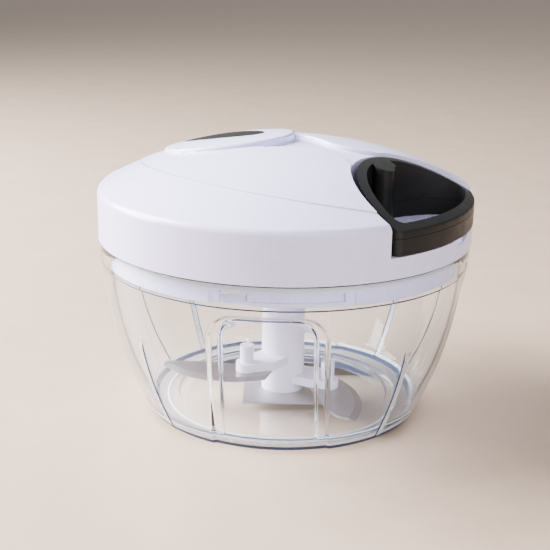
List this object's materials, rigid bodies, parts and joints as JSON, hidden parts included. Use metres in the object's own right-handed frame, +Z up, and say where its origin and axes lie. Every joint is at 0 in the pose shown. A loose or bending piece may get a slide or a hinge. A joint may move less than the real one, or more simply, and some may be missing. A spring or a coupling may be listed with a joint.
{
  "type": "pull-string food chopper",
  "caption": "Hand food chopper: clear bowl with swept blades on a hub, domed white lid with bayonet lock, and a black pull handle on a cord that spins the blades.",
  "frame": {"origin": "middle of the bowl's foot, on the table", "axes": "+Z up along the blade axis, +X the way the handle is pulled, +Y completes the right-handed frame"},
  "size_m": [0.1251, 0.125, 0.0928],
  "materials": {
    "clear_plastic": "clear polished moulded plastic",
    "white_plastic": "white glossy moulded plastic",
    "black_plastic": "black satin moulded plastic",
    "inner_plastic": "natural moulded plastic",
    "badge": "dark grey metallic, bare",
    "steel": "stainless steel",
    "brass": "plain bearing",
    "seal": "translucent silicone",
    "cord": "braided cord"
  },
  "bodies": {
    "bowl": {"bowl": "clear_plastic", "bowl_pin": "steel"},
    "seal": {"lid_seal": "seal"},
    "lid": {"lid_base": "white_plastic", "top_cover": "white_plastic", "badge": "badge", "cord_eyelet": "steel", "spindle_bush": "brass", "reel_axle": "steel", "cover_screws": "steel", "cord_run": "cord"},
    "reel": {"cord_reel": "inner_plastic", "reel_flange": "inner_plastic", "pull_cord": "cord", "recoil_spring": "steel", "pawl_pins": "steel"},
    "pawl_a": {"pawl_a": "inner_plastic"},
    "pawl_b": {"pawl_b": "inner_plastic"},
    "drive": {"drive_cup": "inner_plastic"},
    "blades": {"blade_hub": "white_plastic", "lower_blade": "steel", "middle_blade": "steel", "scraper_blade": "steel", "blade_rivets": "steel"},
    "handle": {"handle_upper": "black_plastic", "handle_lower": "black_plastic", "handle_screws": "steel", "cord_knot": "cord"}
  },
  "joints": [
    {"name": "lid_lift", "type": "slide", "parent": "bowl", "child": "seal", "axis": [0, 0, 1], "range_m": [0, 0.07]},
    {"name": "lid_twist", "type": "hinge", "parent": "seal", "child": "lid", "pos_m": [0, 0, 0.0578], "axis": [0, 0, 1], "range_deg": [-27, 0]},
    {"name": "handle_pull", "type": "slide", "parent": "lid", "child": "handle", "axis": [1, 0, 0], "range_m": [0, 0.35], "stiffness_N_per_m": 10, "springref_m": -0.3},
    {"name": "reel_spin", "type": "hinge", "parent": "lid", "child": "reel", "pos_m": [0, 0, 0.07], "axis": [0, 0, 1], "range_deg": [-1, 1181]},
    {"name": "drive_spin", "type": "hinge", "parent": "lid", "child": "drive", "pos_m": [0, 0, 0.06], "axis": [0, 0, 1], "range_deg": [-1, 1181]},
    {"name": "blade_spin", "type": "hinge", "parent": "bowl", "child": "blades", "pos_m": [0, 0, 0.01], "axis": [0, 0, 1], "range_deg": [-1, 1181]},
    {"name": "pawl_a_swing", "type": "hinge", "parent": "reel", "child": "pawl_a", "pos_m": [0.00672, -0.00672, 0.062], "axis": [0, 0, 1], "range_deg": [0, 10], "stiffness_Nm_per_rad": 0.0005, "springref_deg": -17.19},
    {"name": "pawl_b_swing", "type": "hinge", "parent": "reel", "child": "pawl_b", "pos_m": [-0.00672, 0.00672, 0.062], "axis": [0, 0, 1], "range_deg": [0, 10], "stiffness_Nm_per_rad": 0.0005, "springref_deg": -17.19}
  ],
  "couplings": [
    {"joint": "reel_spin", "follows": "handle_pull", "rad_per_m": 58.824},
    {"joint": "drive_spin", "follows": "handle_pull", "rad_per_m": 58.824},
    {"joint": "blade_spin", "follows": "handle_pull", "rad_per_m": 58.824}
  ]
}
